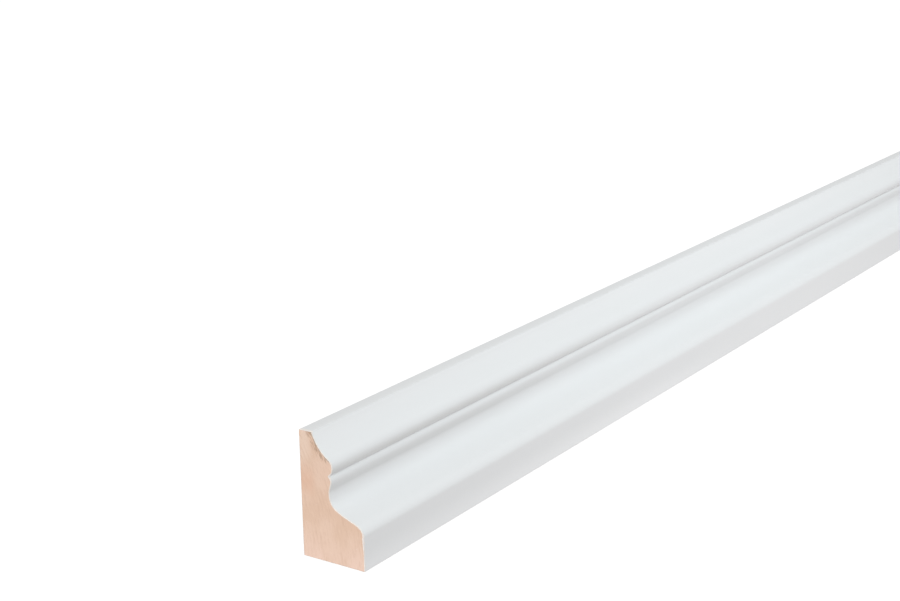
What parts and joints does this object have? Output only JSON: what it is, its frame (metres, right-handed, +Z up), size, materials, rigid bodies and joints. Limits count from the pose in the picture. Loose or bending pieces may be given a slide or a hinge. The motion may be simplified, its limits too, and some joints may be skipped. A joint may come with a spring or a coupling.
{
  "type": "crown moulding length",
  "caption": "Straight length of white-primed pine crown moulding, flat back and base, with cavetto, torus, bead and cove, cut square at both ends.",
  "frame": {"origin": "middle of the length and of the width, on the wide flat underside it stands on", "axes": "+X along the length, +Y out of the flat back, so the moulded front faces -Y, and +Z up from the wide face to the narrow one"},
  "size_m": [0.6, 0.025, 0.044],
  "materials": {
    "primed_pine": "white primer, matt to eggshell, over pine, with both cut ends raw"
  },
  "bodies": {
    "root": {"crown_moulding": "primed_pine"}
  },
  "joints": []
}
